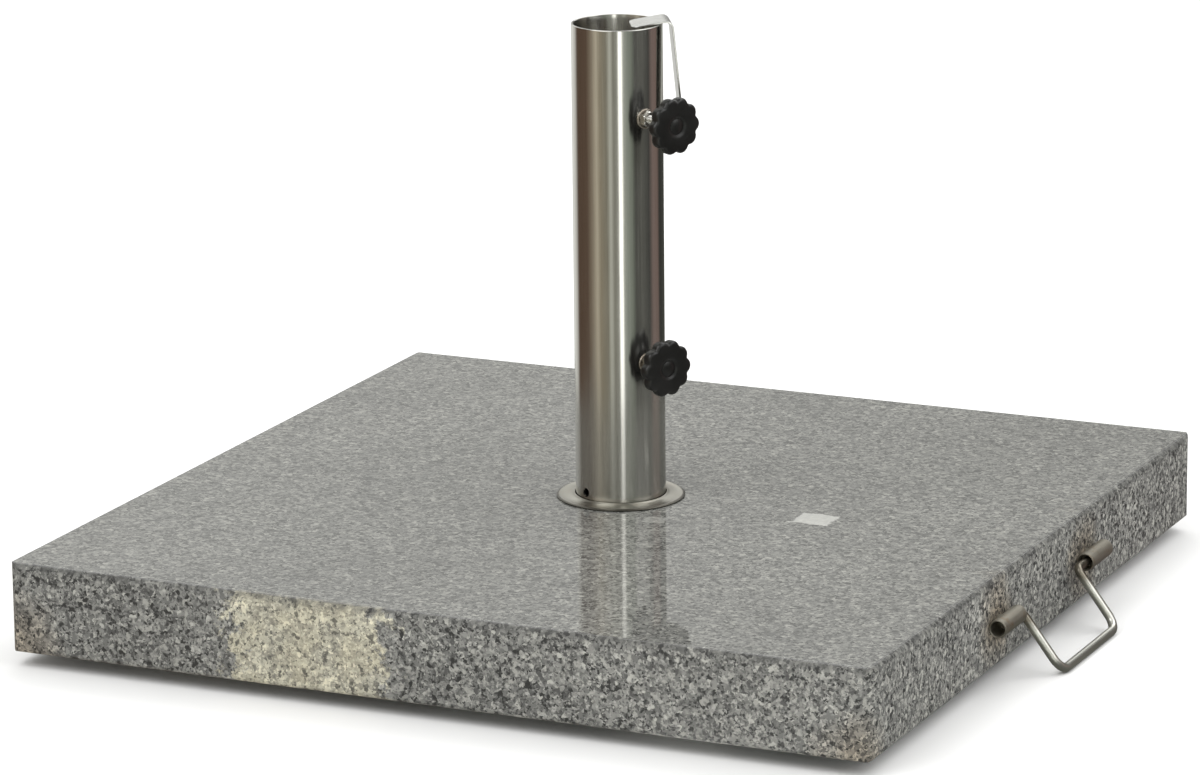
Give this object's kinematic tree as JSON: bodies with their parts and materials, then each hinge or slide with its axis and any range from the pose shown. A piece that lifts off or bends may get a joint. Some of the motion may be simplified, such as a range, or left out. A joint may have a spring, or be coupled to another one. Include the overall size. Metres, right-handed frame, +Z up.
{
  "type": "parasol base",
  "caption": "Square granite parasol base with a clamping stainless standpipe, star-knob screws, a loose hooked leaf and a folding carry bail.",
  "frame": {"origin": "on the floor, straight under the standpipe's axis", "axes": "+Z up along the standpipe's axis, +X towards the side with the carry bail, +Y away from the side seen from the front"},
  "size_m": [0.6372, 0.6, 0.3934],
  "materials": {
    "granite": "polished top, flamed sides",
    "black_rubber": "matt",
    "zinc_steel": "zinc plated",
    "grey_nylon": "matt",
    "stainless_brushed": "brushed along the length",
    "stainless_plain": "satin",
    "black_plastic": "satin"
  },
  "bodies": {
    "base": {"granite_slab": "granite", "rubber_feet": "black_rubber", "foot_screws": "zinc_steel", "foot_plugs": "grey_nylon", "standpipe": "stainless_brushed", "foot_plate": "stainless_plain", "foot_plate_nut": "stainless_plain", "rosette": "stainless_brushed", "centre_bolt": "zinc_steel", "bolt_spring_washer": "zinc_steel", "bolt_plate_washer": "zinc_steel", "upper_weld_nut": "stainless_plain", "lower_weld_nut": "stainless_plain", "handle_sleeve_front": "stainless_plain", "handle_sleeve_rear": "stainless_plain", "anchor_pin_front": "stainless_plain", "anchor_pin_rear": "stainless_plain"},
    "bail": {"handle_bail": "stainless_plain"},
    "upper_pad": {"upper_tip_pad": "grey_nylon"},
    "upper_clamp": {"upper_knob": "black_plastic", "upper_screw": "stainless_plain"},
    "lower_pad": {"lower_tip_pad": "grey_nylon"},
    "lower_clamp": {"lower_knob": "black_plastic", "lower_screw": "stainless_plain"},
    "leaf": {"clamp_leaf": "stainless_brushed"}
  },
  "joints": [
    {"name": "bail_swing", "type": "hinge", "parent": "base", "child": "bail", "pos_m": [0.3063, 0, 0.04], "axis": [0, -1, 0], "range_deg": [0, 145]},
    {"name": "upper_pad_slide", "type": "slide", "parent": "base", "child": "upper_pad", "axis": [-0.8829, 0.4695, 0], "range_m": [-0.0011, 0.0101]},
    {"name": "upper_knob_turn", "type": "hinge", "parent": "upper_pad", "child": "upper_clamp", "pos_m": [0, 0, 0.3315], "axis": [-0.8829, 0.4695, 0], "range_deg": [-360, 3600]},
    {"name": "lower_pad_slide", "type": "slide", "parent": "base", "child": "lower_pad", "axis": [-0.8829, 0.4695, 0], "range_m": [-0.0011, 0.0031]},
    {"name": "lower_knob_turn", "type": "hinge", "parent": "lower_pad", "child": "lower_clamp", "pos_m": [0, 0, 0.167], "axis": [-0.8829, 0.4695, 0], "range_deg": [-360, 1080]},
    {"name": "leaf_pull", "type": "slide", "parent": "base", "child": "leaf", "axis": [0.8576, 0.4872, 0.165], "range_m": [0, 0.026]}
  ],
  "couplings": [
    {"joint": "upper_pad_slide", "follows": "upper_knob_turn", "m_per_rad": 0.00015915},
    {"joint": "lower_pad_slide", "follows": "lower_knob_turn", "m_per_rad": 0.00015915}
  ]
}
